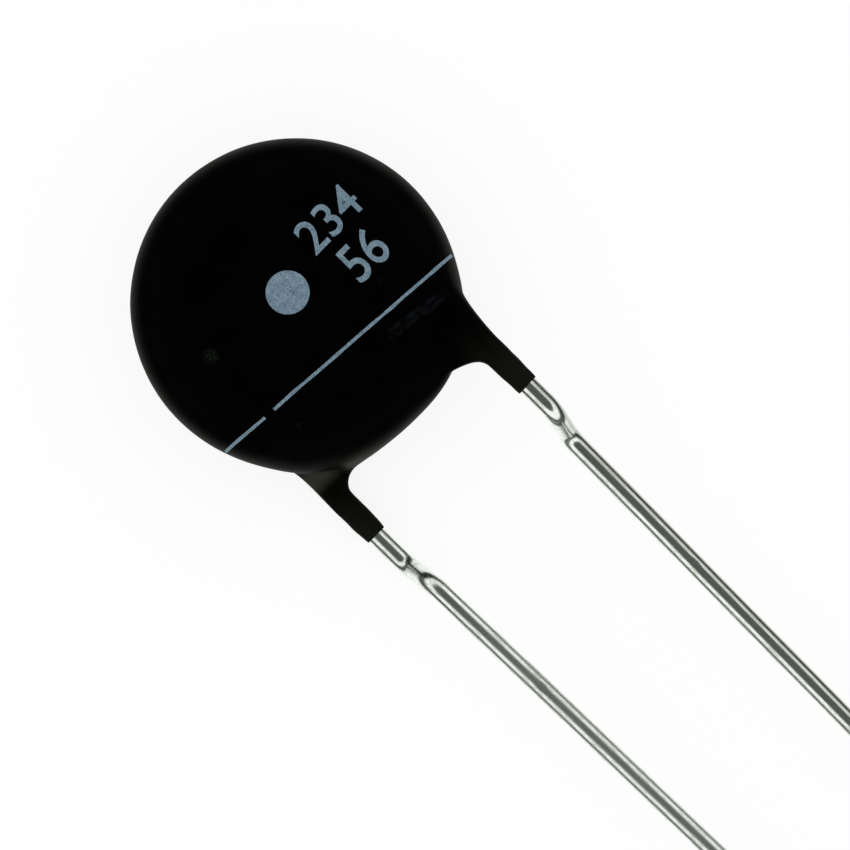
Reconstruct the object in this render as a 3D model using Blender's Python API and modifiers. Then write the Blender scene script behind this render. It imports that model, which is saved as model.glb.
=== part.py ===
# Inrush current limiter: a sintered thermistor disc with two soldered wire leads in a dipped black coating.
# Metres, +Z up. It lies on its back. The origin is the middle of the coating's flat rear land,
# the front face looks up, and both leads run towards -Y.

import math

import bmesh
import bpy

# Thermistor disc and its two silver electrodes
CERAMIC_DIAMETER = 0.0102
CERAMIC_THICKNESS = 0.0022
CERAMIC_CHAMFER = 0.00015
ELECTRODE_MARGIN = 0.0003  # bare ceramic round each electrode
ELECTRODE_THICKNESS = 0.00005

# Leads: tinned wire, soldered flat on the electrodes, one on each face
WIRE_DIAMETER = 0.0007
LEAD_PITCH = 0.0074
LEADS_SIDE_SHIFT = -0.00009  # the coated disc sits a little off the middle of the leads
LEAD_REACH = 0.0014  # how far the wire runs up the face, past the disc's middle
LEAD_BELOW_RIM = 0.0268

# Jog that brings both leads into the disc's middle plane and stands the disc off a board
FRONT_JOG_BELOW_RIM = 0.00283
REAR_JOG_BELOW_RIM = 0.00304
JOG_BEND_RADIUS = 0.0008
JOG_ANGLE = math.radians(58.0)
FRONT_JOG_INSET = 0.00026
REAR_JOG_INSET = 0.00019
TOE_IN = math.radians(1.0)

# Solder mound along each wire
SOLDER_LENGTH = 0.0046
SOLDER_WIDTH = 0.0015
SOLDER_HEIGHT = 0.0006
SOLDER_PAST_WIRE = 0.0005

# Dipped coating
COAT_AT_RIM = 0.00065
COAT_OVER_WIRE = 0.0004
COAT_ON_LEG = 0.00011
LAND_RADIUS = 0.0039
FRONT_LEG_BELOW_RIM = 0.00199
REAR_LEG_BELOW_RIM = 0.0019
FRONT_WEB = 0.00072  # coating that gathers in the corner between a leg and the rim
REAR_WEB = 0.00005
FRONT_CORNER_SWELL = 0.00026  # how far the rim stands out there
REAR_CORNER_SWELL = 0.00036
FRONT_RIM_SWELL = 0.00005  # and over the leg
REAR_RIM_SWELL = 0.00015
LEG_RIDGE = 0.0001  # how far the coating stands up where a wire leaves the disc
LEG_END_TAPER = 0.00004

# Running gap between neighbours that touch on the real part
SEAT_GAP = 0.00002

# Facets
DISC_SIDES = 64
WIRE_BEVEL_STEPS = 6
BEND_STEPS = 6
COATING_SEGMENTS = 22
COATING_RINGS = 10
SPANS_BETWEEN_LEGS = 5
SHOULDER_RING = 3
SUBDIVISIONS = 2

# Sizes that follow from those above, with heights from the disc's middle plane
CERAMIC_HALF = CERAMIC_THICKNESS / 2
ELECTRODE_DIAMETER = CERAMIC_DIAMETER - 2 * ELECTRODE_MARGIN
ELECTRODE_FACE = CERAMIC_HALF + SEAT_GAP + ELECTRODE_THICKNESS
WIRE_RADIUS = WIRE_DIAMETER / 2
WIRE_HEIGHT = ELECTRODE_FACE + SEAT_GAP + WIRE_RADIUS
COATING_HALF = WIRE_HEIGHT + WIRE_RADIUS + COAT_OVER_WIRE
COATING_RADIUS = CERAMIC_DIAMETER / 2 + COAT_AT_RIM
MIDDLE_PLANE = COATING_HALF
LEG_RADIUS = WIRE_RADIUS + COAT_ON_LEG

# The front lead is the right one seen from the front, and the rear lead the left one.
FRONT = 1
REAR = -1
LEG_LENGTH = {FRONT: FRONT_LEG_BELOW_RIM, REAR: REAR_LEG_BELOW_RIM}
LEG_WEB = {FRONT: FRONT_WEB, REAR: REAR_WEB}
CORNER_SWELL = {FRONT: FRONT_CORNER_SWELL, REAR: REAR_CORNER_SWELL}
RIM_SWELL = {FRONT: FRONT_RIM_SWELL, REAR: REAR_RIM_SWELL}
JOG_BELOW_RIM = {FRONT: FRONT_JOG_BELOW_RIM, REAR: REAR_JOG_BELOW_RIM}
JOG_INSET = {FRONT: FRONT_JOG_INSET, REAR: REAR_JOG_INSET}


def clear_scene():
    for obj in list(bpy.data.objects):
        bpy.data.objects.remove(obj, do_unlink=True)


def make_collection(name):
    collection = bpy.data.collections.new(name)
    bpy.context.scene.collection.children.link(collection)
    return collection


def make_material(name, colour, roughness, metallic):
    material = bpy.data.materials.new(name)
    material.use_nodes = True
    shader = material.node_tree.nodes["Principled BSDF"]
    shader.inputs["Base Color"].default_value = (*colour, 1.0)
    shader.inputs["Roughness"].default_value = roughness
    shader.inputs["Metallic"].default_value = metallic
    material.diffuse_color = (*colour, 1.0)
    return material


def finish_object(obj, collection, material):
    """Links an object and gives it its material. With no material it is a cutter."""
    collection.objects.link(obj)
    if material:
        obj.data.materials.append(material)
    else:
        obj.hide_render = True
        obj.display_type = "WIRE"
    return obj


def object_from_bmesh(bm, name, collection, material=None, smooth_below=30.0):
    mesh = bpy.data.meshes.new(name)
    bmesh.ops.recalc_face_normals(bm, faces=bm.faces)
    bm.to_mesh(mesh)
    bm.free()
    mesh.shade_smooth()
    mesh.set_sharp_from_angle(angle=math.radians(smooth_below))
    return finish_object(bpy.data.objects.new(name, mesh), collection, material)


def subtract(obj, cutter):
    cut = obj.modifiers.new("Cut " + cutter.name, "BOOLEAN")
    cut.operation = "DIFFERENCE"
    cut.object = cutter


def lead_axis_x(side):
    return LEADS_SIDE_SHIFT + side * LEAD_PITCH / 2


def leg_end_y(side):
    return -(COATING_RADIUS + LEG_LENGTH[side])


def jog_start_y(side):
    return -(COATING_RADIUS + JOG_BELOW_RIM[side])


def add_plate(name, collection, material, diameter, thickness, height):
    """A round plate, centred on the disc's axis at a height above the middle plane."""
    bm = bmesh.new()
    bmesh.ops.create_cone(
        bm,
        cap_ends=True,
        segments=DISC_SIDES,
        radius1=diameter / 2,
        radius2=diameter / 2,
        depth=thickness,
    )
    plate = object_from_bmesh(bm, name, collection, material)
    plate.location.z = MIDDLE_PLANE + height
    return plate


def add_ceramic(name, collection, material, grow=0.0):
    plate = add_plate(
        name,
        collection,
        material,
        CERAMIC_DIAMETER + 2 * grow,
        CERAMIC_THICKNESS + 2 * grow,
        0.0,
    )
    edge = plate.modifiers.new("Pressed chamfer", "BEVEL")
    edge.width = CERAMIC_CHAMFER
    edge.segments = 2
    edge.limit_method = "ANGLE"
    return plate


def add_electrode(name, collection, material, side, grow=0.0):
    return add_plate(
        name,
        collection,
        material,
        ELECTRODE_DIAMETER + 2 * grow,
        ELECTRODE_THICKNESS + 2 * grow,
        side * (ELECTRODE_FACE - ELECTRODE_THICKNESS / 2),
    )


def jog_points():
    """The jog as (distance down the lead, drop towards the middle plane): bend, straight slope, bend back."""
    rise_in_bends = 2 * JOG_BEND_RADIUS * (1 - math.cos(JOG_ANGLE))
    slope = (WIRE_HEIGHT - rise_in_bends) / math.sin(JOG_ANGLE)
    run = 2 * JOG_BEND_RADIUS * math.sin(JOG_ANGLE) + slope * math.cos(JOG_ANGLE)
    turns = [JOG_ANGLE * step / BEND_STEPS for step in range(BEND_STEPS + 1)]
    first = [
        (JOG_BEND_RADIUS * math.sin(a), JOG_BEND_RADIUS * (1 - math.cos(a)))
        for a in turns
    ]
    second = [(run - down, WIRE_HEIGHT - drop) for down, drop in reversed(first)]
    return first + second


def lead_path(side):
    """Centreline of a lead: straight down the face and the leg, the jog, then the free end toeing in."""
    jog = jog_points()
    run = jog[-1][0]
    path = [(lead_axis_x(side), LEAD_REACH, MIDDLE_PLANE + side * WIRE_HEIGHT)]
    for down, drop in jog:
        share = down / run
        inset = JOG_INSET[side] * share * share * (3 - 2 * share)
        path.append(
            (
                lead_axis_x(side) - side * inset,
                jog_start_y(side) - down,
                MIDDLE_PLANE + side * (WIRE_HEIGHT - drop),
            )
        )
    x, y, z = path[-1]
    tip_y = -(COATING_RADIUS + LEAD_BELOW_RIM)
    path.append((x - side * (y - tip_y) * math.tan(TOE_IN), tip_y, z))
    return path


def add_wire(name, collection, material, points, radius):
    curve = bpy.data.curves.new(name, "CURVE")
    curve.dimensions = "3D"
    curve.bevel_depth = radius
    curve.bevel_resolution = WIRE_BEVEL_STEPS
    curve.use_fill_caps = True
    line = curve.splines.new("POLY")
    line.points.add(len(points) - 1)
    for point, place in zip(line.points, points):
        point.co = (*place, 1.0)
    line.use_smooth = True
    return finish_object(bpy.data.objects.new(name, curve), collection, material)


def mesh_from_curve(obj, collection):
    """Turns a wire into a closed mesh cutter and removes the curve."""
    bpy.context.view_layer.update()
    graph = bpy.context.evaluated_depsgraph_get()
    mesh = bpy.data.meshes.new_from_object(obj.evaluated_get(graph))
    bm = bmesh.new()
    bm.from_mesh(mesh)
    bmesh.ops.remove_doubles(bm, verts=bm.verts, dist=SEAT_GAP / 10)
    bmesh.ops.recalc_face_normals(bm, faces=bm.faces)
    bm.to_mesh(mesh)
    bm.free()
    name = obj.name
    place = obj.matrix_world.copy()
    bpy.data.objects.remove(obj, do_unlink=True)
    cutter = finish_object(bpy.data.objects.new(name, mesh), collection, None)
    cutter.matrix_world = place
    return cutter


def add_wire_cutter(name, collection, side):
    """The straight bore that a lead leaves in its solder and its coated leg."""
    x = lead_axis_x(side)
    z = MIDDLE_PLANE + side * WIRE_HEIGHT
    points = [(x, LEAD_REACH + SEAT_GAP, z), (x, jog_start_y(side), z)]
    bore = add_wire(name, collection, None, points, WIRE_RADIUS + SEAT_GAP)
    return mesh_from_curve(bore, collection)


def add_solder(name, collection, material, side, grow=0.0):
    """Half an ellipsoid of solder, flat on its electrode and long in the wire's direction."""
    bm = bmesh.new()
    bmesh.ops.create_uvsphere(bm, u_segments=20, v_segments=14, radius=1.0)
    bmesh.ops.bisect_plane(
        bm,
        geom=[*bm.verts, *bm.edges, *bm.faces],
        plane_co=(0, 0, 0),
        plane_no=(0, 0, side),
        clear_inner=True,
    )
    rim = [edge for edge in bm.edges if edge.is_boundary]
    bmesh.ops.contextual_create(bm, geom=rim)
    size = (
        SOLDER_WIDTH / 2 + grow,
        SOLDER_LENGTH / 2 + grow,
        SOLDER_HEIGHT + 2 * grow,
    )
    bmesh.ops.scale(bm, verts=bm.verts, vec=size)
    mound = object_from_bmesh(bm, name, collection, material)
    mound.location = (
        lead_axis_x(side),
        LEAD_REACH + SOLDER_PAST_WIRE - SOLDER_LENGTH / 2,
        MIDDLE_PLANE + side * (ELECTRODE_FACE + SEAT_GAP - grow),
    )
    return mound


def coating_profile():
    """(radius, height) of the control rings from the front's middle, over the rim, to the rear's middle.
    From the land to the rim, they are shares of the rounding's width and height."""
    inner_ring = 0.58 * LAND_RADIUS
    edge = ((0.0, 1.0), (0.68, 0.86), (1.0, 0.46), (1.02, 0.0))
    rounding = COATING_RADIUS - LAND_RADIUS
    front = [(0.0, COATING_HALF), (inner_ring, COATING_HALF)]
    front += [(LAND_RADIUS + across * rounding, up * COATING_HALF) for across, up in edge]
    rear = [(radius, -height) for radius, height in reversed(front[:-1])]
    return front + rear


def spread(start, end, spans):
    return [start + (end - start) * step / spans for step in range(spans + 1)]


def coating_angles(radius):
    """Angles of a ring's columns, from the rear leg at -Y towards +X: the rear leg, evenly from its root's inner
    side to that of the front leg's root, the front leg, and evenly on round the disc between their outer sides."""
    root_inside = {FRONT: 2.8, REAR: 2.6}  # in leg radii from the leg's axis
    root_outside = {FRONT: 1.2, REAR: 0.92}

    def turn(leg_radii):
        return math.asin((LEAD_PITCH / 2 + leg_radii * LEG_RADIUS) / radius)

    around = COATING_SEGMENTS - SPANS_BETWEEN_LEGS - 2
    between = spread(-turn(-root_inside[REAR]), turn(-root_inside[FRONT]), SPANS_BETWEEN_LEGS - 2)
    beyond = spread(turn(root_outside[FRONT]), 2 * math.pi - turn(root_outside[REAR]), around)
    return [-turn(0)] + between + [turn(0)] + beyond


def leg_sections(side):
    """(distance along -Y, radius, web) of the coated leg's control loops, from its root to its end.
    The web is how far a loop's inner side reaches out towards the other leg, and it dies out down the leg."""
    web_left = ((0.0, 1.0), (0.12, 0.1), (0.34, 0.0))
    end = -leg_end_y(side)
    blend = [
        (COATING_RADIUS + down * LEG_LENGTH[side], LEG_RADIUS, left * LEG_WEB[side])
        for down, left in web_left
    ]
    tip = [(end - LEG_RADIUS / 2, LEG_RADIUS, 0.0), (end, LEG_RADIUS - LEG_END_TAPER, 0.0)]
    return blend + tip


def leg_loop(bm, side, along, radius, web):
    """Six control points round a leg, outer side first, from the inner edge round to the inner edge."""
    control = radius / (2 / 3 + math.cos(math.pi / 3) / 3)
    loop = []
    for turn in (150, 90, 30, -30, -90, -150):
        a = math.radians(turn)
        reach = control * math.cos(a) - (web if abs(turn) == 150 else 0.0)
        x = lead_axis_x(side) + side * reach
        z = MIDDLE_PLANE + side * (WIRE_HEIGHT + control * math.sin(a))
        loop.append(bm.verts.new((x, -along, z)))
    return loop


def move_out(vert, distance):
    """Moves a point away from the disc's axis."""
    reach = math.hypot(vert.co.x, vert.co.y)
    vert.co.x *= 1 + distance / reach
    vert.co.y *= 1 + distance / reach


def grow_leg(bm, crease, rings, side):
    """Opens the coating's shoulder behind a lead and lofts the leg's tube from there to its flat end."""
    middle = SPANS_BETWEEN_LEGS if side == FRONT else 0
    columns = [(middle + step) % COATING_SEGMENTS for step in (-side, 0, side)]
    shoulder_ring = SHOULDER_RING if side == FRONT else COATING_RINGS - SHOULDER_RING
    face_side = [rings[shoulder_ring][c] for c in columns]
    rim_side = [rings[shoulder_ring + side][c] for c in columns]
    for vert in (face_side[0], rim_side[0]):
        move_out(vert, CORNER_SWELL[side])
    for vert in face_side[1:]:
        vert.co.z += side * LEG_RIDGE
    for column in columns:
        move_out(rings[COATING_RINGS // 2][column], RIM_SWELL[side])
    root = face_side + rim_side[::-1]
    covered = [face for face in bm.faces if all(v in root for v in face.verts)]
    bmesh.ops.delete(bm, geom=covered, context="FACES")
    loops = [root]
    loops += [leg_loop(bm, side, *section) for section in leg_sections(side)]
    for near, far in zip(loops, loops[1:]):
        for i in range(len(near)):
            j = (i + 1) % len(near)
            bm.faces.new((near[i], near[j], far[j], far[i]))
    end = bm.faces.new(loops[-1])
    for edge in end.edges:
        edge[crease] = 1.0


def add_coating(name, collection, material, core):
    """The dipped coating: a round-edged disc with a leg over each lead, hollowed by everything inside it.
    A subdivided ring ends inside its control points, by the share drawn_in."""
    bm = bmesh.new()
    bmesh.ops.create_uvsphere(
        bm, u_segments=COATING_SEGMENTS, v_segments=COATING_RINGS, radius=1.0
    )
    profile = coating_profile()
    shoulder_radius = profile[SHOULDER_RING][0]
    drawn_in = 2 / 3 + math.cos(2 * math.pi / COATING_SEGMENTS) / 3
    ring_step = math.pi / COATING_RINGS
    column_step = 2 * math.pi / COATING_SEGMENTS
    rings = [dict() for _ in profile]
    for vert in bm.verts:
        ring = round(math.acos(max(-1.0, min(1.0, vert.co.z))) / ring_step)
        turn = math.atan2(vert.co.x, -vert.co.y) % (2 * math.pi)
        column = int(turn / column_step + 0.25) % COATING_SEGMENTS
        rings[ring][column] = vert
    for ring, (radius, height) in zip(rings, profile):
        angles = coating_angles(max(radius, shoulder_radius))
        reach = radius / drawn_in
        for column, vert in ring.items():
            x = reach * math.sin(angles[column])
            y = -reach * math.cos(angles[column])
            vert.co = (x, y, MIDDLE_PLANE + height)
    crease = bm.edges.layers.float.new("crease_edge")
    grow_leg(bm, crease, rings, FRONT)
    grow_leg(bm, crease, rings, REAR)
    coating = object_from_bmesh(bm, name, collection, material)
    skin = coating.modifiers.new("Smooth film", "SUBSURF")
    skin.levels = SUBDIVISIONS
    skin.render_levels = SUBDIVISIONS
    hollow = coating.modifiers.new("Hollow", "BOOLEAN")
    hollow.operation = "DIFFERENCE"
    hollow.operand_type = "COLLECTION"
    hollow.collection = core
    return coating


def main():
    clear_scene()
    parts = make_collection("inrush_current_limiter")
    core = make_collection("coating_core")
    ceramic = make_material("Sintered ceramic", (0.09, 0.085, 0.08), 0.7, 0.0)
    silver = make_material("Fired silver", (0.80, 0.79, 0.76), 0.45, 1.0)
    tin = make_material("Tinned wire", (0.78, 0.78, 0.76), 0.2, 1.0)
    solder = make_material("Solder", (0.66, 0.66, 0.65), 0.3, 1.0)
    silicone = make_material("Black coating", (0.012, 0.012, 0.011), 0.4, 0.0)

    add_ceramic("thermistor_disc", parts, ceramic)
    add_ceramic("disc_space", core, None, SEAT_GAP)
    for side, place in ((FRONT, "front"), (REAR, "rear")):
        add_electrode(place + "_electrode", parts, silver, side)
        add_electrode(place + "_electrode_space", core, None, side, SEAT_GAP)
        add_wire(place + "_lead", parts, tin, lead_path(side), WIRE_RADIUS)
        bore = add_wire_cutter(place + "_lead_space", core, side)
        mound = add_solder(place + "_solder", parts, solder, side)
        subtract(mound, bore)
        add_solder(place + "_solder_space", core, None, side, SEAT_GAP)
    add_coating("coating", parts, silicone, core)
    bpy.context.view_layer.update()


main()
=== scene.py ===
import math

import bmesh
import bpy
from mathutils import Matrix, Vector, noise
from mathutils.bvhtree import BVHTree


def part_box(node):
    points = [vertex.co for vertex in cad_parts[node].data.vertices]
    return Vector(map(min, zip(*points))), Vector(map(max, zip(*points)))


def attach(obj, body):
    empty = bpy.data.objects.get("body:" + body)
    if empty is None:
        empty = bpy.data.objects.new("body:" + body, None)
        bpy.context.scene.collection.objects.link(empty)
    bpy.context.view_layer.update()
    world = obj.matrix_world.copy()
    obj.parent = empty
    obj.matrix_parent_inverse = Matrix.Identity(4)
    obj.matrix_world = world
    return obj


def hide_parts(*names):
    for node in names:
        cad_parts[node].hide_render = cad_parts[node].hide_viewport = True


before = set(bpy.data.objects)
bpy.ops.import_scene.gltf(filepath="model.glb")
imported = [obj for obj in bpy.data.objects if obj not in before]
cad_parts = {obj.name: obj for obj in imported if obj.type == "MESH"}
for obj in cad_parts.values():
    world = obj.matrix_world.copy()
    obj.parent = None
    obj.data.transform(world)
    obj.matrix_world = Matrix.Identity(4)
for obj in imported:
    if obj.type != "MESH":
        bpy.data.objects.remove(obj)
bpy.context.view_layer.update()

mm = 0.001
front, rear = 1, -1  # the front lead is the right one seen from the front

# Sizes and places that the frame gives
coatingLow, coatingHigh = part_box("coating")
frontLow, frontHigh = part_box("front_lead")
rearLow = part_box("rear_lead")[0]
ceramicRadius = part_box("thermistor_disc")[1].x
coatingHalf = (coatingHigh.z - coatingLow.z) / 2
middlePlane = coatingLow.z + coatingHalf
wireRadius = middlePlane - frontLow.z
wireHeight = frontHigh.z - wireRadius - middlePlane
leadAxisX = {front: frontHigh.x - wireRadius, rear: rearLow.x + wireRadius}
leadTop = frontHigh.y
leadTip = frontLow.y
legEnd = {front: coatingLow.y, rear: coatingLow.y + 0.09 * mm}  # the rear leg is a little shorter
discRadius = ceramicRadius + 0.65 * mm  # the coating at the rim
seatGap = 0.02 * mm  # between pieces that touch


class Socket:  # a node's output: Python's operators on it add Math nodes
    def __init__(self, graph, socket):
        self.graph = graph
        self.socket = socket

    def __add__(self, other):
        return self.graph.maths("ADD", self, other)

    def __radd__(self, other):
        return self.graph.maths("ADD", other, self)

    def __sub__(self, other):
        return self.graph.maths("SUBTRACT", self, other)

    def __rsub__(self, other):
        return self.graph.maths("SUBTRACT", other, self)

    def __mul__(self, other):
        return self.graph.maths("MULTIPLY", self, other)

    def __rmul__(self, other):
        return self.graph.maths("MULTIPLY", other, self)

    def __rtruediv__(self, other):
        return self.graph.maths("DIVIDE", other, self)

    def __gt__(self, other):
        return self.graph.maths("GREATER_THAN", self, other)

    def __abs__(self):
        return self.graph.maths("ABSOLUTE", self, 0.0)


class Graph:  # a node tree of a material, of the world or of Geometry Nodes
    def __init__(self, tree):
        self.tree = tree
        self.tree.nodes.clear()

    def node(self, kind, settings=None, values=None, output=0):
        made = self.tree.nodes.new(kind)
        for name, value in (settings or {}).items():
            setattr(made, name, value)
        for name, value in (values or {}).items():
            if isinstance(value, Socket):
                self.tree.links.new(value.socket, made.inputs[name])
            else:
                made.inputs[name].default_value = value
        if not made.outputs:
            return made
        if isinstance(output, tuple):
            return [Socket(self, made.outputs[which]) for which in output]
        return Socket(self, made.outputs[output])

    def maths(self, operation, first, second):
        return self.node("ShaderNodeMath", {"operation": operation}, {0: first, 1: second})

    def vector(self, operation, first, second, output=0):
        return self.node("ShaderNodeVectorMath", {"operation": operation}, {0: first, 1: second}, output)

    def scaled(self, vector, factor):
        return self.node("ShaderNodeVectorMath", {"operation": "SCALE"}, {0: vector, "Scale": factor})

    def blendColours(self, share, first, second):
        return self.node("ShaderNodeMix", {"data_type": "RGBA"}, {0: share, 6: first, 7: second}, 2)

    def rise(self, value, low, high):  # 0 up to low, 1 from high on, smooth between
        values = {"Value": value, "From Min": low, "From Max": high}
        return self.node("ShaderNodeMapRange", {"interpolation_type": "SMOOTHSTEP"}, values)

    def fall(self, value, low, high):
        return 1 - self.rise(value, low, high)

    def grain(self, where, size, detail=2.0):  # noise from 0 to 1 whose lumps are about this size
        return self.node("ShaderNodeTexNoise", {}, {"Vector": where, "Scale": 1 / size, "Detail": detail})

    def stretched(self, where, along):  # coordinates in which a pattern is drawn out along the leads
        return self.node("ShaderNodeMapping", {}, {"Vector": where, "Scale": (1.0, 1 / along, 1.0)})


def newMaterial(name):
    material = bpy.data.materials.new(name)
    material.use_nodes = True
    graph = Graph(material.node_tree)
    return material, graph, graph.node("ShaderNodeTexCoord", output=3)


def endMaterial(graph, values, bumps=()):  # bumps are (height, depth in metres)
    for height, depth in bumps:
        relief = {"Height": height, "Distance": depth}
        if "Normal" in values:
            relief["Normal"] = values["Normal"]
        values["Normal"] = graph.node("ShaderNodeBump", {}, relief)
    surface = graph.node("ShaderNodeBsdfPrincipled", {}, values)
    graph.node("ShaderNodeOutputMaterial", {}, {"Surface": surface})


def newPiece(name, mesh, material):
    mesh.materials.clear()
    mesh.materials.append(material)
    piece = bpy.data.objects.new(name, mesh)
    bpy.context.scene.collection.objects.link(piece)
    return piece


def settle(piece):  # puts the modifiers' result in the piece and takes them off
    bpy.context.view_layer.update()
    shown = piece.evaluated_get(bpy.context.evaluated_depsgraph_get())
    mesh = bpy.data.meshes.new_from_object(shown)
    piece.modifiers.clear()
    piece.data = mesh


def meshFrom(bm, name):
    mesh = bpy.data.meshes.new(name)
    bm.to_mesh(mesh)
    bm.free()
    return mesh


# Leads: drawn tinned wire along a path, made by one Geometry Nodes tree

leadShape = {
    "jogBelowRim": {front: 2.83 * mm, rear: 3.04 * mm},
    "bendRadius": 0.8 * mm,
    "bendSteps": 16,
    "jogAngle": math.radians(58.0),
    "jogInset": {front: 0.26 * mm, rear: 0.19 * mm},
    "toeIn": math.radians(1.0),
    "sides": 40,
    "ringSpacing": 0.06 * mm,
    "sway": 0.015 * mm,  # how far the free wire wanders from its line
    "swayLength": 6.0 * mm,
    "swayGrowth": 8.0 * mm,  # it reaches its full size this far below the coating
    "nickLength": 0.35 * mm,
    "sharpAngle": math.radians(40.0),
}
leadMarks = {  # a narrow flat along each wire and one nick
    front: {"turn": math.radians(8.0), "flat": 0.006 * mm, "nickPlace": -16.2 * mm, "nick": 0.012 * mm},
    rear: {"turn": math.radians(4.0), "flat": 0.003 * mm, "nickPlace": -15.4 * mm, "nick": 0.02 * mm},
}


def jogPoints():  # (distance down the lead, drop towards the middle plane)
    radius, angle = leadShape["bendRadius"], leadShape["jogAngle"]
    slope = (wireHeight - 2 * radius * (1 - math.cos(angle))) / math.sin(angle)
    run = 2 * radius * math.sin(angle) + slope * math.cos(angle)
    turns = [angle * step / leadShape["bendSteps"] for step in range(leadShape["bendSteps"] + 1)]
    first = [(radius * math.sin(turn), radius * (1 - math.cos(turn))) for turn in turns]
    return first + [(run - down, wireHeight - drop) for down, drop in reversed(first)]


def leadPath(side):
    jog = jogPoints()
    run = jog[-1][0]
    jogStart = -discRadius - leadShape["jogBelowRim"][side]
    path = [(leadAxisX[side], leadTop, middlePlane + side * wireHeight)]
    for down, drop in jog:
        share = down / run
        inset = leadShape["jogInset"][side] * share * share * (3 - 2 * share)
        height = middlePlane + side * (wireHeight - drop)
        path.append((leadAxisX[side] - side * inset, jogStart - down, height))
    x, y, z = path[-1]
    path.append((x - side * (y - leadTip) * math.tan(leadShape["toeIn"]), leadTip, z))
    return path


def makeWireTree():
    tree = bpy.data.node_groups.new("Drawn wire", "GeometryNodeTree")
    graph = Graph(tree)
    kinds = {
        "Path": "Geometry",
        "Radius": "Float",
        "Ring Spacing": "Float",
        "Sides": "Int",
        "Free Below": "Float",
        "Sway": "Float",
        "Sway Length": "Float",
        "Sway Growth": "Float",
        "Seed": "Float",
        "Flat Direction": "Vector",
        "Flat Depth": "Float",
        "Nick Place": "Float",
        "Nick Depth": "Float",
        "Nick Length": "Float",
        "Metal": "Material",
    }
    for name, kind in kinds.items():
        tree.interface.new_socket(name, in_out="INPUT", socket_type="NodeSocket" + kind)
    tree.interface.new_socket("Wire", in_out="OUTPUT", socket_type="NodeSocketGeometry")
    given = dict(zip(kinds, graph.node("NodeGroupInput", output=tuple(range(len(kinds))))))

    line = graph.node("GeometryNodeMeshToCurve", {}, {"Mesh": given["Path"]})
    spacing = {"Curve": line, "Length": given["Ring Spacing"]}
    rings = graph.node("GeometryNodeResampleCurve", {"mode": "LENGTH"}, spacing)

    # The free length sways a little, and what is soldered and coated stays straight
    place = graph.node("GeometryNodeInputPosition")
    along = graph.node("ShaderNodeSeparateXYZ", {}, {0: place}, 1)
    free = graph.rise(given["Free Below"] - along, 0.0, given["Sway Growth"])
    wander = {"Vector": place, "W": given["Seed"], "Scale": 1.0 / given["Sway Length"], "Detail": 0.0}
    drift = graph.node("ShaderNodeTexNoise", {"noise_dimensions": "4D"}, wander, 1)
    eitherWay = graph.vector("SUBTRACT", drift, (0.5, 0.5, 0.5))
    sideways = graph.scaled(eitherWay, free * given["Sway"] * 4.0)  # the noise seldom leaves its middle half
    swayed = graph.node("GeometryNodeSetPosition", {}, {"Geometry": rings, "Offset": sideways})

    # Each ring remembers its centre, which the flat and the nick are measured from
    centres = {"Geometry": swayed, "Name": "centre", "Value": place}
    kept = graph.node("GeometryNodeStoreNamedAttribute", {"data_type": "FLOAT_VECTOR"}, centres)
    section = {"Resolution": given["Sides"], "Radius": given["Radius"]}
    circle = graph.node("GeometryNodeCurvePrimitiveCircle", {}, section)
    swept = {"Curve": kept, "Profile Curve": circle, "Fill Caps": True}
    tube = graph.node("GeometryNodeCurveToMesh", {}, swept)
    centre = graph.node("GeometryNodeInputNamedAttribute", {"data_type": "FLOAT_VECTOR"}, {"Name": "centre"})
    fromCentre = graph.vector("SUBTRACT", place, centre)
    reach = graph.vector("DOT_PRODUCT", fromCentre, given["Flat Direction"], "Value")
    across = graph.node("ShaderNodeSeparateXYZ", {}, {0: fromCentre}, 0)
    far = abs(along - given["Nick Place"])
    depth = given["Flat Depth"] + given["Nick Depth"] * graph.fall(far, 0.0, given["Nick Length"])
    over = graph.maths("MAXIMUM", reach - given["Radius"] + depth, 0.0)
    pressed = {"Geometry": tube, "Offset": graph.scaled(given["Flat Direction"], 0.0 - over)}
    marked = graph.node("GeometryNodeSetPosition", {}, pressed)

    # The material finds the wire's left and right side by this, from -1 to 1, and paints shade on the right
    # side by it
    sides = {"Geometry": marked, "Name": "across", "Value": across * (1.0 / given["Radius"])}
    sided = graph.node("GeometryNodeStoreNamedAttribute", {"data_type": "FLOAT"}, sides)
    cleaned = graph.node("GeometryNodeRemoveAttribute", {}, {"Geometry": sided, "Name": "centre"})
    smooth = graph.node("GeometryNodeSetShadeSmooth", {}, {"Geometry": cleaned, "Shade Smooth": True})
    real = graph.node("GeometryNodeRealizeInstances", {}, {"Geometry": smooth})
    finished = graph.node("GeometryNodeSetMaterial", {}, {"Geometry": real, "Material": given["Metal"]})
    graph.node("NodeGroupOutput", {}, {"Wire": finished})
    return tree


def makeWire(name, tree, path, material, settings):
    mesh = bpy.data.meshes.new(name)
    mesh.from_pydata(path, [(step, step + 1) for step in range(len(path) - 1)], [])
    piece = newPiece(name, mesh, material)
    nodes = piece.modifiers.new("Drawn wire", "NODES")
    nodes.node_group = tree
    for item in tree.interface.items_tree:
        if item.in_out == "INPUT" and item.name in settings:
            nodes[item.identifier] = settings[item.name]
    settle(piece)
    piece.data.set_sharp_from_angle(angle=leadShape["sharpAngle"])
    return piece


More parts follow.
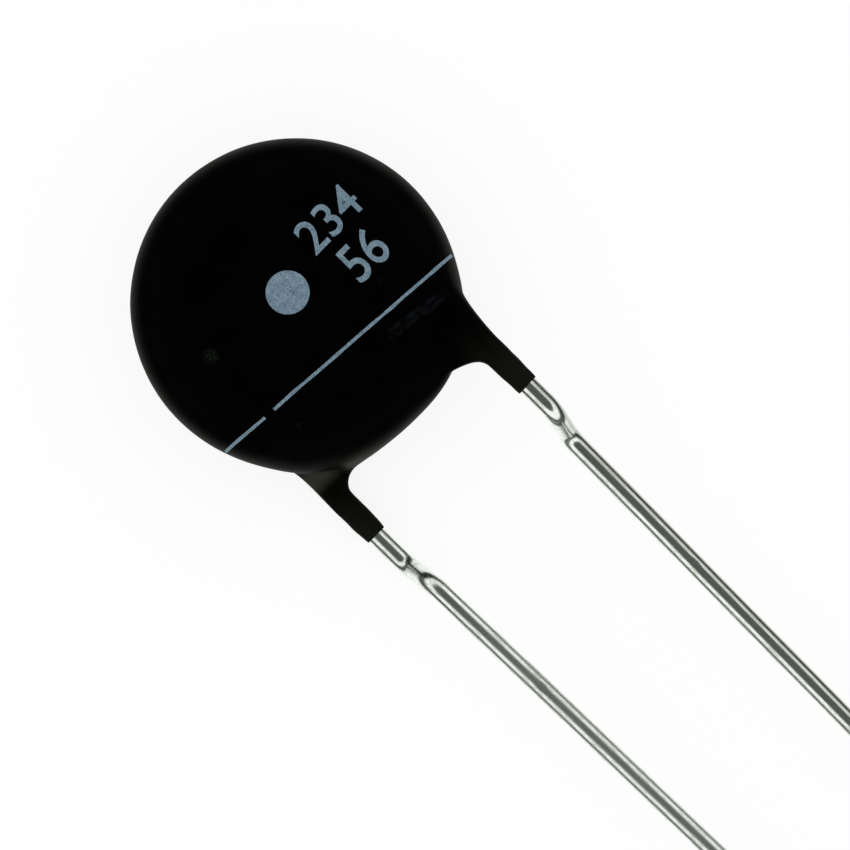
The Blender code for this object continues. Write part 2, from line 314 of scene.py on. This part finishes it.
def makeLead(name, tree, side, material):
    marks = leadMarks[side]
    settings = {
        "Radius": wireRadius,
        "Ring Spacing": leadShape["ringSpacing"],
        "Sides": leadShape["sides"],
        "Free Below": legEnd[side],
        "Sway": leadShape["sway"],
        "Sway Length": leadShape["swayLength"],
        "Sway Growth": leadShape["swayGrowth"],
        "Seed": float(side),
        "Flat Direction": (math.sin(marks["turn"]), 0.0, math.cos(marks["turn"])),
        "Flat Depth": marks["flat"],
        "Nick Place": marks["nickPlace"],
        "Nick Depth": marks["nick"],
        "Nick Length": leadShape["nickLength"],
        "Metal": material,
    }
    return makeWire(name, tree, leadPath(side), material, settings)


tinLook = {
    "bright": (0.86, 0.87, 0.84, 1),
    "dull": (0.62, 0.64, 0.57, 1),
    "rightShadeColour": (0.36, 0.36, 0.31, 1),
    "rightShade": {front: 0.75, rear: 0.10},  # painted shade on each wire's right side, dimming its reflection there
    "roughness": {front: 0.17, rear: 0.20},
    "rougherBelow": {front: 0.02, rear: 0.09},  # what is added towards the tips
    "tipwards": (10 * mm, 14 * mm),  # down the wire, from the disc's middle
    "dullRoughness": 0.10,
    "streak": 0.035 * mm,
    "streakStretch": 40.0,
    "drawMarks": 0.0014 * mm,
    "fleck": 0.06 * mm,
    "fleckStretch": 3.5,
    "patch": 0.9 * mm,
    "detail": 3.0,
    "shares": {"streaks": 0.25, "flecks": 0.4, "patches": 0.35},  # of the dulling
    "dullRange": (0.44, 0.62),
    "rightShadeRange": (0.40, 0.75),
    "rightShadeRaggedness": 0.3,
}


def makeTin(name, side):
    material, graph, where = newMaterial(name)
    detail, shares = tinLook["detail"], tinLook["shares"]
    streaks = graph.grain(graph.stretched(where, tinLook["streakStretch"]), tinLook["streak"], detail)
    flecks = graph.grain(graph.stretched(where, tinLook["fleckStretch"]), tinLook["fleck"], detail)
    patches = graph.grain(where, tinLook["patch"], detail)
    mixed = streaks * shares["streaks"] + flecks * shares["flecks"] + patches * shares["patches"]
    dull = graph.rise(mixed, *tinLook["dullRange"])
    colour = graph.blendColours(dull, tinLook["bright"], tinLook["dull"])
    across = graph.node("ShaderNodeAttribute", {"attribute_name": "across"}, {}, 2)
    # Painted shade: each wire's right side is darker, most on the front wire
    ragged = across + tinLook["rightShadeRaggedness"] * streaks
    paintedRightShade = graph.rise(ragged, *tinLook["rightShadeRange"]) * tinLook["rightShade"][side]
    y = graph.node("ShaderNodeSeparateXYZ", {}, {0: where}, 1)
    rougher = graph.rise(0.0 - y, *tinLook["tipwards"]) * tinLook["rougherBelow"][side]
    values = {
        "Base Color": graph.blendColours(paintedRightShade, colour, tinLook["rightShadeColour"]),
        "Metallic": 1.0,
        "Roughness": tinLook["roughness"][side] + rougher + tinLook["dullRoughness"] * dull,
    }
    endMaterial(graph, values, [(streaks, tinLook["drawMarks"])])
    return material


# Coating: the CAD node's cage, a little fuller by the legs, subdivided finer and with the film's unevenness

coatingShape = {
    "coatOnLeg": 0.11 * mm,
    "landRadius": 3.9 * mm,
    "innerRing": 0.58,  # share of the land's radius
    "edge": ((0.0, 1.0), (0.68, 0.86), (1.0, 0.46), (1.02, 0.0)),  # shares of the rounding's width and height
    "webs": {front: 1.2 * mm, rear: 0.05 * mm},  # coating gathered between a leg and the rim
    "webLeft": {  # (share of the leg's length, share of the web left there)
        front: ((-0.14, 1.0), (0.08, 0.04), (0.34, 0.0)),
        rear: ((0.0, 1.0), (0.12, 0.1), (0.34, 0.0)),
    },
    "rootOutside": {front: 1.2, rear: 0.92},  # a leg's root reaches this many leg radii from its axis
    "rootInside": {front: 4.4, rear: 2.7},
    "cornerSwell": {front: 0.36 * mm, rear: 0.40 * mm},  # the rim stands out beside each leg
    "rimSwell": {front: 0.05 * mm, rear: 0.15 * mm},  # and over it
    "ridge": 0.1 * mm,
    "endTaper": 0.04 * mm,
    "columns": 22,
    "rings": 10,
    "spansBetweenLegs": 5,
    "shoulderRing": 3,
    "subdivisions": 4,
    "filmDrawnIn": 0.014 * mm,  # leaves room for the print inside the coating's own box
    "filmWaves": 0.010 * mm,
    "filmWaveSize": 1.6 * mm,
    "filmRipples": 0.0022 * mm,
    "filmRippleSize": 0.32 * mm,
    "legLumps": 0.045 * mm,
    "legLumpSize": 0.6 * mm,
    "leastLump": -0.3,
    "lumpsGrowOver": 1.0 * mm,
    "sharpAngle": math.radians(35.0),
}
legRadius = wireRadius + coatingShape["coatOnLeg"]


def coatingProfile():  # (radius, height) of the cage's rings, front's middle to rear's middle
    land = coatingShape["landRadius"]
    upper = [(0.0, coatingHalf), (coatingShape["innerRing"] * land, coatingHalf)]
    upper += [(land + across * (discRadius - land), up * coatingHalf) for across, up in coatingShape["edge"]]
    return upper + [(radius, -height) for radius, height in reversed(upper[:-1])]


def coatingAngles(radius):  # a ring's columns, from the rear leg at -Y towards +X
    halfPitch = (leadAxisX[front] - leadAxisX[rear]) / 2

    def turn(legRadii):
        return math.asin((halfPitch + legRadii * legRadius) / radius)

    def spread(start, end, spans):
        return [start + (end - start) * step / spans for step in range(spans + 1)]

    inside, outside = coatingShape["rootInside"], coatingShape["rootOutside"]
    between = spread(-turn(-inside[rear]), turn(-inside[front]), coatingShape["spansBetweenLegs"] - 2)
    around = coatingShape["columns"] - coatingShape["spansBetweenLegs"] - 2
    beyond = spread(turn(outside[front]), 2 * math.pi - turn(outside[rear]), around)
    return [-turn(0)] + between + [turn(0)] + beyond


def legSections(side):  # (distance along -Y, radius, web) of a coated leg's loops
    end = -legEnd[side]
    length = end - discRadius
    web = coatingShape["webs"][side]
    steps = coatingShape["webLeft"][side]
    blend = [(discRadius + down * length, legRadius, left * web) for down, left in steps]
    return blend + [(end - legRadius / 2, legRadius, 0.0), (end, legRadius - coatingShape["endTaper"], 0.0)]


def legLoop(bm, side, along, radius, web):
    control = radius / (2 / 3 + math.cos(math.pi / 3) / 3)  # so that the subdivided loop has this radius
    loop = []
    for turn in (150, 90, 30, -30, -90, -150):
        angle = math.radians(turn)
        reach = control * math.cos(angle) - (web if abs(turn) == 150 else 0.0)
        height = middlePlane + side * (wireHeight + control * math.sin(angle))
        loop.append(bm.verts.new((leadAxisX[side] + side * reach, -along, height)))
    return loop


def moveOut(vert, distance):
    reach = math.hypot(vert.co.x, vert.co.y)
    vert.co.x *= 1 + distance / reach
    vert.co.y *= 1 + distance / reach


def growLeg(bm, crease, rings, side):
    columns, ringCount = coatingShape["columns"], coatingShape["rings"]
    middle = coatingShape["spansBetweenLegs"] if side == front else 0
    shoulder = coatingShape["shoulderRing"]
    if side == rear:
        shoulder = ringCount - shoulder
    near = [(middle + step) % columns for step in (-side, 0, side)]
    faceSide = [rings[shoulder][column] for column in near]
    rimSide = [rings[shoulder + side][column] for column in near]
    moveOut(faceSide[0], coatingShape["cornerSwell"][side])
    moveOut(rimSide[0], coatingShape["cornerSwell"][side])
    for vert in faceSide[1:]:
        vert.co.z += side * coatingShape["ridge"]
    for column in near:
        moveOut(rings[ringCount // 2][column], coatingShape["rimSwell"][side])
    root = faceSide + rimSide[::-1]
    covered = [face for face in bm.faces if all(vert in root for vert in face.verts)]
    bmesh.ops.delete(bm, geom=covered, context="FACES")
    loops = [root] + [legLoop(bm, side, *section) for section in legSections(side)]
    for upper, lower in zip(loops, loops[1:]):
        for this in range(len(upper)):
            following = (this + 1) % len(upper)
            bm.faces.new((upper[this], upper[following], lower[following], lower[this]))
    for edge in bm.faces.new(loops[-1]).edges:
        edge[crease] = 1.0


def makeCage():
    columns, ringCount = coatingShape["columns"], coatingShape["rings"]
    bm = bmesh.new()
    bmesh.ops.create_uvsphere(bm, u_segments=columns, v_segments=ringCount, radius=1.0)
    profile = coatingProfile()
    shoulderRadius = profile[coatingShape["shoulderRing"]][0]
    drawnIn = 2 / 3 + math.cos(2 * math.pi / columns) / 3  # a subdivided ring ends inside its control points
    rings = [{} for _ in profile]
    for vert in bm.verts:
        ring = round(math.acos(max(-1.0, min(1.0, vert.co.z))) * ringCount / math.pi)
        turn = math.atan2(vert.co.x, -vert.co.y) % (2 * math.pi)
        rings[ring][int(turn * columns / (2 * math.pi) + 0.25) % columns] = vert
    for ring, (radius, height) in zip(rings, profile):
        angles = coatingAngles(max(radius, shoulderRadius))
        for column, vert in ring.items():
            x = math.sin(angles[column]) * radius / drawnIn
            y = -math.cos(angles[column]) * radius / drawnIn
            vert.co = (x, y, middlePlane + height)
    crease = bm.edges.layers.float.new("crease_edge")
    growLeg(bm, crease, rings, front)
    growLeg(bm, crease, rings, rear)
    bmesh.ops.recalc_face_normals(bm, faces=bm.faces)
    return meshFrom(bm, "coating_film")


def roughenFilm(mesh):  # the dip's slow waves and fine ripples, always inwards
    normals = [vert.normal.copy() for vert in mesh.vertices]
    for vert, normal in zip(mesh.vertices, normals):
        waves = noise.noise(vert.co / coatingShape["filmWaveSize"])
        ripples = noise.noise(vert.co / coatingShape["filmRippleSize"])
        inwards = coatingShape["filmDrawnIn"] - coatingShape["filmWaves"] * waves
        inwards -= coatingShape["filmRipples"] * ripples
        ontoLeg = min(max((-vert.co.y - discRadius) / coatingShape["lumpsGrowOver"], 0.0), 1.0)
        lumps = max(noise.noise(vert.co / coatingShape["legLumpSize"]), coatingShape["leastLump"])
        inwards += coatingShape["legLumps"] * ontoLeg * lumps
        vert.co -= normal * max(inwards, 0.0)


def roomFor(name):  # a cutter: a CAD node's own solid, grown by the running gap
    bm = bmesh.new()
    bm.from_mesh(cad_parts[name].data)
    bmesh.ops.remove_doubles(bm, verts=bm.verts, dist=seatGap / 20)
    low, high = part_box(name)
    middle, size = (low + high) / 2, high - low
    for vert in bm.verts:
        for axis in range(3):
            grown = 1 + 2 * seatGap / size[axis]
            vert.co[axis] = middle[axis] + (vert.co[axis] - middle[axis]) * grown
    return meshFrom(bm, name + "_room")


def boreFor(side, tree, material):
    settings = {"Radius": wireRadius + seatGap, "Ring Spacing": 1.0, "Sides": leadShape["sides"]}
    height = middlePlane + side * wireHeight
    path = [(leadAxisX[side], leadTop + seatGap, height), (leadAxisX[side], legEnd[side] - mm, height)]
    return makeWire("bore", tree, path, material, settings)


def makeCoating(material, tree):
    piece = newPiece("coating_film", makeCage(), material)
    smooth = piece.modifiers.new("Smooth film", "SUBSURF")
    smooth.levels = smooth.render_levels = coatingShape["subdivisions"]
    settle(piece)
    roughenFilm(piece.data)
    inner = ["thermistor_disc", "front_electrode", "rear_electrode", "front_solder", "rear_solder"]
    cutters = [newPiece(name + "_room", roomFor(name), material) for name in inner]
    cutters += [boreFor(side, tree, material) for side in (front, rear)]
    for cutter in cutters:
        hollow = piece.modifiers.new("Hollow", "BOOLEAN")
        hollow.operation = "DIFFERENCE"
        hollow.solver = "MANIFOLD"
        hollow.object = cutter
    settle(piece)
    for cutter in cutters:
        bpy.data.objects.remove(cutter)
    piece.data.shade_smooth()
    piece.data.set_sharp_from_angle(angle=coatingShape["sharpAngle"])
    return piece


siliconeLook = {
    "black": (0.0002, 0.0002, 0.0002, 1),
    "grey": (0.0005, 0.0005, 0.0004, 1),
    "leg": (0.0072, 0.0072, 0.0048, 1),
    "rim": (0.0080, 0.0074, 0.0040, 1),  # painted sheen: lighter colour where the surface over the edge is steep
    "rearLegHighlight": (0.0270, 0.0285, 0.0200, 1),  # painted highlight where the rim passes over the rear leg
    "faint": (0.0055, 0.0065, 0.0088, 1),
    "stain": (0.0100, 0.0130, 0.0100, 1),
    "roughness": 0.42,
    "cloudRoughness": 0.16,
    "legRoughness": 0.08,
    "specular": 0.013,
    "cloud": 1.3 * mm,
    "greyRange": (0.35, 0.75),
    "clouding": {"leg": (0.7, 0.4), "rim": (0.55, 0.6), "rearLegHighlight": (0.5, 1.0)},  # steady share, cloud's share
    "orangePeel": 0.30 * mm,
    "orangePeelDepth": 0.0016 * mm,
    "dust": 0.045 * mm,
    "dustDepth": 0.0005 * mm,
    "besideLegs": (0.5 * mm, 1.1 * mm),  # from a leg's axis
    "ontoLegs": (discRadius - 1.35 * mm, discRadius + 1.95 * mm),  # down from the disc's middle
    "rimByLegs": (2.0 * mm, 4.0 * mm),
    "sheenSteepness": (0.24, 0.56),  # how far up its surface looks; steeper surfaces get the painted sheen
    "rearLegHighlightStarts": (4.25 * mm, 4.60 * mm),
    "rearLegHighlightEnds": (4.85 * mm, 5.40 * mm),
    "rearLegHighlightTop": 0.6 * mm,  # below the middle plane
    "rearLegHighlightFoot": 0.4 * mm,
    "faintLine": {  # a faint double line beside the stripe, lighter and bluish, broken up by noise
        "start": (1.1 * mm, -3.06 * mm),
        "end": (4.2 * mm, -3.52 * mm),
        "width": 0.12 * mm,
        "gap": 0.22 * mm,
        "fade": 1.0 * mm,
        "dustRange": (0.15, 0.75),
        "peelRange": (0.32, 0.62),
    },
    "speckCore": 0.3,  # full out to this share of its radius
    "speckRange": (0.45, 0.62),
    "specks": [  # place, radius, share of the stain
        (2.57 * mm, -1.56 * mm, 0.12 * mm, 0.6),
        (-2.90 * mm, -3.06 * mm, 0.12 * mm, 0.7),
        (-3.36 * mm, 0.76 * mm, 0.38 * mm, 1.0),
    ],
}


def makeSilicone():
    material, graph, where = newMaterial("Black silicone")
    x, y, z = graph.node("ShaderNodeSeparateXYZ", {}, {0: where}, (0, 1, 2))
    cloud = graph.grain(where, siliconeLook["cloud"], 4.0)
    dust = graph.grain(where, siliconeLook["dust"], 3.0)
    peel = graph.grain(where, siliconeLook["orangePeel"], 2.0)
    greyed = graph.rise(cloud, *siliconeLook["greyRange"])
    colour = graph.blendColours(greyed, siliconeLook["black"], siliconeLook["grey"])
    clouded = {tone: steady + rest * cloud for tone, (steady, rest) in siliconeLook["clouding"].items()}

    # The legs are greyer towards their ends
    halfPitch = (leadAxisX[front] - leadAxisX[rear]) / 2
    fromLegs = abs(abs(x - (leadAxisX[front] + leadAxisX[rear]) / 2) - halfPitch)
    byLegs = graph.fall(fromLegs, *siliconeLook["besideLegs"])
    onLeg = graph.rise(0.0 - y, *siliconeLook["ontoLegs"]) * byLegs
    colour = graph.blendColours(onLeg * clouded["leg"], colour, siliconeLook["leg"])

    # Painted reflection: steep surfaces round the rim are coloured a little lighter, and a painted highlight
    # lies where the rim passes over the rear leg
    normal = graph.node("ShaderNodeTexCoord", output=1)
    upright = abs(graph.node("ShaderNodeSeparateXYZ", {}, {0: normal}, 2))
    awayFromLegs = 1 - byLegs * graph.rise(0.0 - y, *siliconeLook["rimByLegs"])
    paintedRimSheen = graph.fall(upright, *siliconeLook["sheenSteepness"]) * awayFromLegs
    colour = graph.blendColours(paintedRimSheen * clouded["rim"], colour, siliconeLook["rim"])
    # Painted highlight on the rear leg, just under the rim
    rearLegHighlight = graph.rise(0.0 - y, *siliconeLook["rearLegHighlightStarts"])
    rearLegHighlight = rearLegHighlight * graph.fall(0.0 - y, *siliconeLook["rearLegHighlightEnds"]) * byLegs
    foot = middlePlane - wireHeight
    underRim = graph.rise(z, foot, foot + siliconeLook["rearLegHighlightFoot"])
    underRim = underRim * graph.fall(z, middlePlane - siliconeLook["rearLegHighlightTop"], middlePlane)
    paintedRearLegHighlight = rearLegHighlight * underRim * (1 - (x > 0.0))
    colour = graph.blendColours(paintedRearLegHighlight * clouded["rearLegHighlight"], colour, siliconeLook["rearLegHighlight"])

    # Faint marks on the front
    onFront = z > middlePlane
    faintLineLook = siliconeLook["faintLine"]
    (startX, startY), (endX, endY) = faintLineLook["start"], faintLineLook["end"]
    slope = (endY - startY) / (endX - startX)
    offLine = abs(abs(y - startY - (x - startX) * slope) - faintLineLook["gap"] / 2)
    faintLine = graph.fall(offLine, faintLineLook["width"] / 2, faintLineLook["width"])
    faintLine = faintLine * graph.rise(x, startX, startX + faintLineLook["fade"])
    faintLine = faintLine * graph.fall(x, endX - faintLineLook["fade"], endX) * onFront
    faintLine = faintLine * graph.rise(dust, *faintLineLook["dustRange"]) * graph.rise(peel, *faintLineLook["peelRange"])
    colour = graph.blendColours(faintLine, colour, siliconeLook["faint"])
    flat = graph.node("ShaderNodeCombineXYZ", {}, {0: x, 1: y})
    speckled = graph.rise(dust, *siliconeLook["speckRange"]) * onFront
    for placeX, placeY, radius, share in siliconeLook["specks"]:
        distance = graph.vector("DISTANCE", flat, (placeX, placeY, 0.0), "Value")
        speck = graph.fall(distance, siliconeLook["speckCore"] * radius, radius) * speckled
        colour = graph.blendColours(speck * share, colour, siliconeLook["stain"])
    rougher = siliconeLook["cloudRoughness"] * cloud + siliconeLook["legRoughness"] * onLeg
    values = {
        "Base Color": colour,
        "Roughness": siliconeLook["roughness"] + rougher,
        "Specular IOR Level": siliconeLook["specular"],
    }
    endMaterial(graph, values, [(peel, siliconeLook["orangePeelDepth"]), (dust, siliconeLook["dustDepth"])])
    return material


# Print: thin ink that follows the coating's front. The numbers are plain ones and name nothing

inkShape = {
    "thickness": 0.005 * mm,
    "sunk": 0.014 * mm,
    "raggedness": 0.008 * mm,
    "raggedSize": 0.05 * mm,
    "cell": 0.12 * mm,
    "sharpAngle": math.radians(50.0),
}
stripeShape = {
    "left": (-5.40 * mm, -1.89 * mm),
    "right": (5.09 * mm, -2.72 * mm),
    "width": 0.115 * mm,
    "break": (-3.53 * mm, -3.15 * mm),
    "columns": 300,
    "rows": 3,
    "clearOfRim": 0.06 * mm,
    "wave": 0.02 * mm,
    "waveLength": 1.4 * mm,
    "swell": 0.25,  # share of the width
    "swellLength": 0.5 * mm,
}
dotShape = {"place": (0.08 * mm, 0.42 * mm), "radius": 0.76 * mm, "rings": 7, "sides": 72}
numberRows = [
    {"digits": "234", "place": (2.87 * mm, 1.20 * mm), "size": (2.40 * mm, 1.24 * mm)},
    {"digits": "56", "place": (2.85 * mm, -0.52 * mm), "size": (1.55 * mm, 1.40 * mm)},
]
numberWeight = 0.006  # extra stroke, as a share of the font's size


def gridFaces(bm, columns, rows, closed=False):  # joins rows of points into quads
    for first, second in zip(columns, columns[1:]):
        for this in range(rows if closed else rows - 1):
            following = (this + 1) % rows
            bm.faces.new((first[this], second[this], second[following], first[following]))


def stripeOutline():
    (leftX, leftY), (rightX, rightY) = stripeShape["left"], stripeShape["right"]
    slope = (rightY - leftY) / (rightX - leftX)
    bm = bmesh.new()
    spans, span = [], []
    for step in range(stripeShape["columns"] + 1):
        x = leftX + (rightX - leftX) * step / stripeShape["columns"]
        wave = noise.noise(Vector((x / stripeShape["waveLength"], 3.0, 0.0))) * stripeShape["wave"]
        y = leftY + slope * (x - leftX) + wave
        inBreak = stripeShape["break"][0] < x < stripeShape["break"][1]
        if inBreak or math.hypot(x, y) > discRadius - stripeShape["clearOfRim"]:
            spans.append(span)
            span = []
            continue
        swell = 1 + stripeShape["swell"] * noise.noise(Vector((x / stripeShape["swellLength"], 8.0, 0.0)))
        rows = stripeShape["rows"]
        across = [(row / (rows - 1) - 0.5) * stripeShape["width"] * swell for row in range(rows)]
        span.append([bm.verts.new((x, y + offset, 0.0)) for offset in across])
    for span in spans + [span]:
        gridFaces(bm, span, stripeShape["rows"])
    return bm


def dotOutline():
    bm = bmesh.new()
    placeX, placeY = dotShape["place"]
    sides = dotShape["sides"]
    turns = [2 * math.pi * side / sides for side in range(sides)]
    rings = []
    for ring in range(1, dotShape["rings"] + 1):
        radius = dotShape["radius"] * ring / dotShape["rings"]
        around = [(placeX + radius * math.cos(turn), placeY + radius * math.sin(turn), 0.0) for turn in turns]
        rings.append([bm.verts.new(place) for place in around])
    gridFaces(bm, rings, sides, closed=True)
    middle = bm.verts.new((placeX, placeY, 0.0))
    for this in range(sides):
        bm.faces.new((middle, rings[0][this], rings[0][(this + 1) % sides]))
    return bm


def numberOutline(row):
    curve = bpy.data.curves.new("digits", "FONT")
    curve.body = row["digits"]
    curve.offset = numberWeight
    curve.resolution_u = 8
    text = bpy.data.objects.new("digits", curve)
    bpy.context.scene.collection.objects.link(text)
    bpy.context.view_layer.update()
    mesh = bpy.data.meshes.new_from_object(text.evaluated_get(bpy.context.evaluated_depsgraph_get()))
    bpy.data.objects.remove(text)
    bm = bmesh.new()
    bm.from_mesh(mesh)
    bmesh.ops.remove_doubles(bm, verts=bm.verts, dist=0.0005)
    low = [min(vert.co[axis] for vert in bm.verts) for axis in range(2)]
    high = [max(vert.co[axis] for vert in bm.verts) for axis in range(2)]
    for vert in bm.verts:
        for axis in range(2):
            share = (vert.co[axis] - low[axis]) / (high[axis] - low[axis]) - 0.5
            vert.co[axis] = row["place"][axis] + share * row["size"][axis]
        vert.co.z = 0.0
    cell = inkShape["cell"]
    for axis in range(2):
        normal = Vector((1 - axis, axis, 0))
        start = row["place"][axis] - row["size"][axis] / 2
        for step in range(1, int(row["size"][axis] / cell) + 1):
            geometry = [*bm.verts, *bm.edges, *bm.faces]
            cut = normal * (start + step * cell)
            bmesh.ops.bisect_plane(bm, geom=geometry, plane_co=cut, plane_no=normal, dist=1e-9)
    return bm


def layInk(name, bm, skin, material):  # drops a flat outline onto the coating and gives it its thickness
    above = coatingHigh.z + mm
    lost = []
    for vert in bm.verts:
        spot = Vector((vert.co.x, vert.co.y, 0.0)) / inkShape["raggedSize"]
        vert.co.x += noise.noise(spot) * inkShape["raggedness"]
        vert.co.y += noise.noise(spot + Vector((7.0, 3.0, 5.0))) * inkShape["raggedness"]
        place, normal, _, _ = skin.ray_cast(Vector((vert.co.x, vert.co.y, above)), Vector((0, 0, -1)))
        if place is None:
            lost.append(vert)
            continue
        vert.co = place + normal * inkShape["thickness"]
    bmesh.ops.delete(bm, geom=lost, context="VERTS")
    bm.normal_update()
    bmesh.ops.reverse_faces(bm, faces=[face for face in bm.faces if face.normal.z < 0])
    piece = newPiece(name, meshFrom(bm, name), material)
    body = piece.modifiers.new("Ink body", "SOLIDIFY")
    body.thickness = inkShape["thickness"] + inkShape["sunk"]
    body.offset = -1.0
    settle(piece)
    piece.data.shade_smooth()
    piece.data.set_sharp_from_angle(angle=inkShape["sharpAngle"])
    return piece


inkLook = {
    "colour": (0.133, 0.202, 0.254, 1),
    "light": (0.180, 0.255, 0.310, 1),
    "thin": (0.060, 0.100, 0.135, 1),
    "roughness": 0.6,
    "speckleRoughness": 0.2,
    "specular": 0.2,
    "speckle": 0.05 * mm,
    "speckleDepth": 0.002 * mm,
    "thinRange": (0.30, 0.52),
    "patch": 0.22 * mm,
    "lightRange": (0.35, 0.70),
}


def makeInk():
    material, graph, where = newMaterial("Pale blue ink")
    speckle = graph.grain(where, inkLook["speckle"], 3.0)
    patch = graph.grain(where, inkLook["patch"], 2.0)
    lit = graph.rise(patch, *inkLook["lightRange"])
    colour = graph.blendColours(lit, inkLook["colour"], inkLook["light"])
    thin = graph.fall(speckle, *inkLook["thinRange"])
    values = {
        "Base Color": graph.blendColours(thin, colour, inkLook["thin"]),
        "Roughness": inkLook["roughness"] + inkLook["speckleRoughness"] * speckle,
        "Specular IOR Level": inkLook["specular"],
    }
    endMaterial(graph, values, [(speckle, inkLook["speckleDepth"])])
    return material


# What the coating hides: the frame's own solids, with their real finishes

innerLook = {
    "ceramic": {
        "colour": (0.09, 0.085, 0.08, 1),
        "worn": (0.15, 0.14, 0.13, 1),
        "metal": 0.0,
        "rough": 0.75,
        "grain": 0.12 * mm,
    },
    "electrode": {
        "colour": (0.80, 0.79, 0.76, 1),
        "worn": (0.62, 0.60, 0.55, 1),
        "metal": 1.0,
        "rough": 0.42,
        "grain": 0.20 * mm,
    },
    "solder": {
        "colour": (0.66, 0.66, 0.65, 1),
        "worn": (0.45, 0.45, 0.44, 1),
        "metal": 1.0,
        "rough": 0.28,
        "grain": 0.50 * mm,
    },
}
innerWear = {"range": (0.4, 0.7), "roughness": 0.15, "depth": 0.004 * mm}
innerNodes = {
    "ceramic": ["thermistor_disc"],
    "electrode": ["front_electrode", "rear_electrode"],
    "solder": ["front_solder", "rear_solder"],
}


def makeInner(kind):
    look = innerLook[kind]
    material, graph, where = newMaterial(kind.capitalize())
    grain = graph.grain(where, look["grain"], 4.0)
    worn = graph.rise(grain, *innerWear["range"])
    values = {
        "Base Color": graph.blendColours(worn, look["colour"], look["worn"]),
        "Metallic": look["metal"],
        "Roughness": look["rough"] + innerWear["roughness"] * worn,
    }
    endMaterial(graph, values, [(grain, innerWear["depth"])])
    return material


# Studio: a white surround for plain light, and a dark ceiling and horizon that only reflections see

studio = {
    "white": (1.0, 1.0, 1.0, 1),
    "panel": (1.08, 1.11, 1.09, 1),
    "dark": (0.072, 0.085, 0.076, 1),
    "ceiling": math.radians(40.0),  # from straight up
    "horizon": (math.radians(78.0), math.radians(118.0)),
    "softEdge": 0.05,
    "floorSize": 0.6,
    "shadowShare": 0.14,  # how much of the floor's shadow the camera sees
}


def makeWorld():
    world = bpy.data.worlds.new("Studio")
    world.use_nodes = True
    bpy.context.scene.world = world
    graph = Graph(world.node_tree)
    direction = graph.node("ShaderNodeTexCoord", output=0)
    up = graph.node("ShaderNodeSeparateXYZ", {}, {0: direction}, 2)
    soft = studio["softEdge"]
    ceiling = math.cos(studio["ceiling"])
    top, bottom = math.cos(studio["horizon"][0]), math.cos(studio["horizon"][1])
    panel = graph.rise(up, top - soft, top + soft) * graph.fall(up, ceiling - soft, ceiling + soft)
    table = graph.fall(up, bottom - soft, bottom + soft)
    seen = graph.blendColours(panel + table, studio["dark"], studio["panel"])
    glossy = graph.node("ShaderNodeLightPath", output=3)
    colour = graph.blendColours(glossy, studio["white"], seen)
    light = graph.node("ShaderNodeBackground", {}, {"Color": colour, "Strength": 1.0})
    graph.node("ShaderNodeOutputWorld", {}, {"Surface": light})


def makeFloor():
    material, graph, _ = newMaterial("Pale floor")
    camera = graph.node("ShaderNodeLightPath", output=0)
    paper = graph.node("ShaderNodeBsdfDiffuse", {}, {"Color": studio["white"]})
    glow = graph.node("ShaderNodeEmission", {}, {"Color": studio["white"], "Strength": 1.0})
    share = camera * (1 - studio["shadowShare"])
    surface = graph.node("ShaderNodeMixShader", {}, {0: share, 1: paper, 2: glow})
    graph.node("ShaderNodeOutputMaterial", {}, {"Surface": surface})
    bm = bmesh.new()
    bmesh.ops.create_grid(bm, x_segments=1, y_segments=1, size=studio["floorSize"] / 2)
    floor = newPiece("floor", meshFrom(bm, "floor"), material)
    floor.visible_glossy = False


view = {
    "middle": (0.14 * mm, -6.16 * mm),  # what the picture's middle shows
    "width": 29.53 * mm,
    "roll": math.radians(-45.5),
    "lens": 350.0,
    "sensor": 36.0,
    "nearest": 0.005,
}


def makeCamera():
    data = bpy.data.cameras.new("camera")
    data.lens = view["lens"]
    data.sensor_width = view["sensor"]
    data.clip_start = view["nearest"]
    camera = bpy.data.objects.new("camera", data)
    distance = view["width"] * view["lens"] / view["sensor"]
    camera.location = (*view["middle"], middlePlane + distance)
    camera.rotation_euler = (0.0, 0.0, view["roll"])
    bpy.context.scene.collection.objects.link(camera)
    bpy.context.scene.camera = camera


print("Studio and camera")
bpy.context.scene.view_settings.view_transform = "Standard"
makeWorld()
makeFloor()
makeCamera()

print("Leads")
wireTree = makeWireTree()
for name, side in (("front", front), ("rear", rear)):
    tin = makeTin("Tinned " + name + " wire", side)
    lead = makeLead(name + "_wire", wireTree, side, tin)
    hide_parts(name + "_lead")
    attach(lead, "root")

print("Coating")
coating = makeCoating(makeSilicone(), wireTree)
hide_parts("coating")
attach(coating, "root")

print("Print")
ink = makeInk()
skin = BVHTree.FromPolygons(
    [vert.co for vert in coating.data.vertices],
    [polygon.vertices for polygon in coating.data.polygons],
)
outlines = {"print_stripe": stripeOutline(), "print_dot": dotOutline()}
for number, row in enumerate(numberRows, 1):
    outlines["print_numbers_" + str(number)] = numberOutline(row)
for name, outline in outlines.items():
    printed = layInk(name, outline, skin, ink)
    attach(printed, "root")

print("Inner pieces")
for kind, names in innerNodes.items():
    finish = makeInner(kind)
    for name in names:
        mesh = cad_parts[name].data
        mesh.materials.clear()
        mesh.materials.append(finish)
